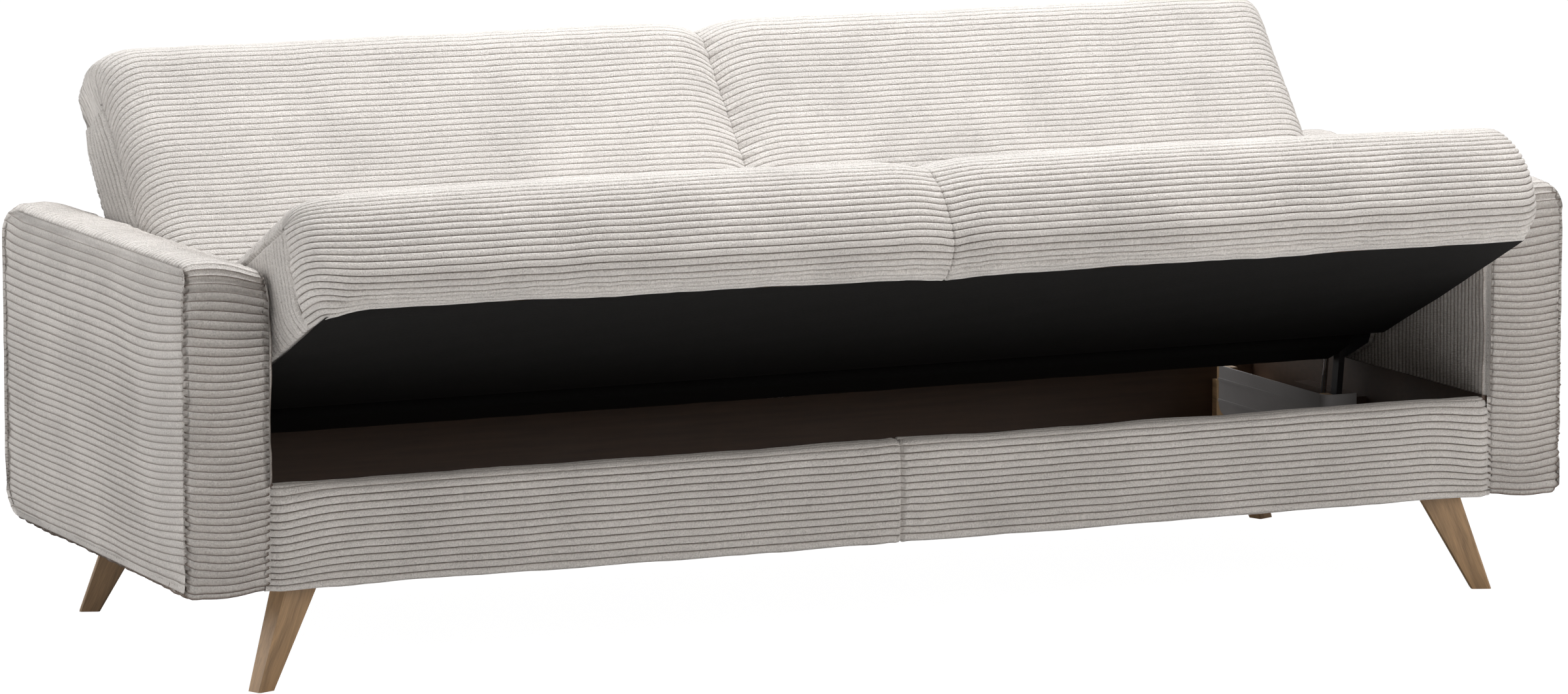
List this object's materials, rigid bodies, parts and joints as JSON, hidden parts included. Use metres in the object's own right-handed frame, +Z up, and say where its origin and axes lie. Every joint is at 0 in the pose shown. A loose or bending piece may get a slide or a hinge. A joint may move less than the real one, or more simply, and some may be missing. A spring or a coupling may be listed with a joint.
{
  "type": "sofa bed",
  "caption": "Sofa bed with its seat and reclining back lifted on links over an open bedding box, between padded arms on splayed, tapered wooden legs.",
  "frame": {"origin": "on the floor, in the middle of the width and of the depth of the sofa as shown", "axes": "+X along the sofa to the right as seen from its front, +Y from its front to its rear, +Z up"},
  "size_m": [2.26, 1.014, 0.8482],
  "materials": {
    "cord_fabric": "ribbed cord fabric, off-white",
    "black_cloth": "thin black dust cloth",
    "webbing": "woven elastic bands",
    "leg_wood": "oiled oak colour",
    "frame_wood": "raw pine",
    "box_board": "dark brown board",
    "steel": "zinc plated",
    "chrome": "bright plated",
    "dark_steel": "dark painted",
    "guard_plastic": "moulded, off-white"
  },
  "bodies": {
    "base": {"box_front_panel": "box_board", "box_rear_panel": "box_board", "box_side_left": "box_board", "box_side_right": "box_board", "box_floor": "box_board", "floor_battens": "frame_wood", "corner_blocks": "frame_wood", "front_panel_cover": "cord_fabric", "rear_panel_cover": "cord_fabric", "arm_frame_left": "frame_wood", "arm_frame_right": "frame_wood", "arm_cover_left": "cord_fabric", "arm_cover_right": "cord_fabric", "arm_bolts": "steel", "leg_front_left": "leg_wood", "leg_front_right": "leg_wood", "leg_rear_left": "leg_wood", "leg_rear_right": "leg_wood", "leg_plates": "steel", "leg_bolts": "steel", "bracket_blocks": "frame_wood", "base_bracket_left": "steel", "base_bracket_right": "steel", "bracket_screws": "steel", "guard_left": "guard_plastic", "guard_right": "guard_plastic", "guard_posts": "frame_wood"},
    "seat": {"seat_frame": "frame_wood", "seat_webbing": "webbing", "seat_cushion_left": "cord_fabric", "seat_cushion_right": "cord_fabric", "seat_cloth": "black_cloth", "seat_strap_left": "steel", "seat_strap_right": "steel", "seat_screws": "steel"},
    "back": {"back_frame": "frame_wood", "back_webbing": "webbing", "back_cushion_left": "cord_fabric", "back_cushion_right": "cord_fabric", "back_lining": "cord_fabric", "back_cloth": "black_cloth", "back_strap_left": "steel", "back_strap_right": "steel", "back_screws": "steel"},
    "front_links": {"front_links": "dark_steel"},
    "rear_links": {"rear_links": "chrome"},
    "carriage": {"hinge_plates": "steel", "hinge_pins": "chrome"}
  },
  "joints": [
    {"name": "front_link_swing", "type": "hinge", "parent": "base", "child": "front_links", "pos_m": [0, 0.08417, 0.211], "axis": [-1, 0, 0], "range_deg": [0, 43.4]},
    {"name": "rear_link_swing", "type": "hinge", "parent": "base", "child": "rear_links", "pos_m": [0, 0.12617, 0.211], "axis": [-1, 0, 0], "range_deg": [0, 43.4]},
    {"name": "carriage_level", "type": "hinge", "parent": "front_links", "child": "carriage", "pos_m": [0, 0.05912, 0.38925], "axis": [1, 0, 0], "range_deg": [0, 43.4]},
    {"name": "seat_tilt", "type": "hinge", "parent": "carriage", "child": "seat", "pos_m": [0, 0.10112, 0.38925], "axis": [1, 0, 0], "range_deg": [0, 21.7]},
    {"name": "back_recline", "type": "hinge", "parent": "carriage", "child": "back", "pos_m": [0, 0.10112, 0.38925], "axis": [-1, 0, 0], "range_deg": [-21.7, 50]}
  ],
  "couplings": [
    {"joint": "front_link_swing", "follows": "seat_tilt", "ratio": 2},
    {"joint": "rear_link_swing", "follows": "seat_tilt", "ratio": 2},
    {"joint": "carriage_level", "follows": "seat_tilt", "ratio": 2}
  ]
}
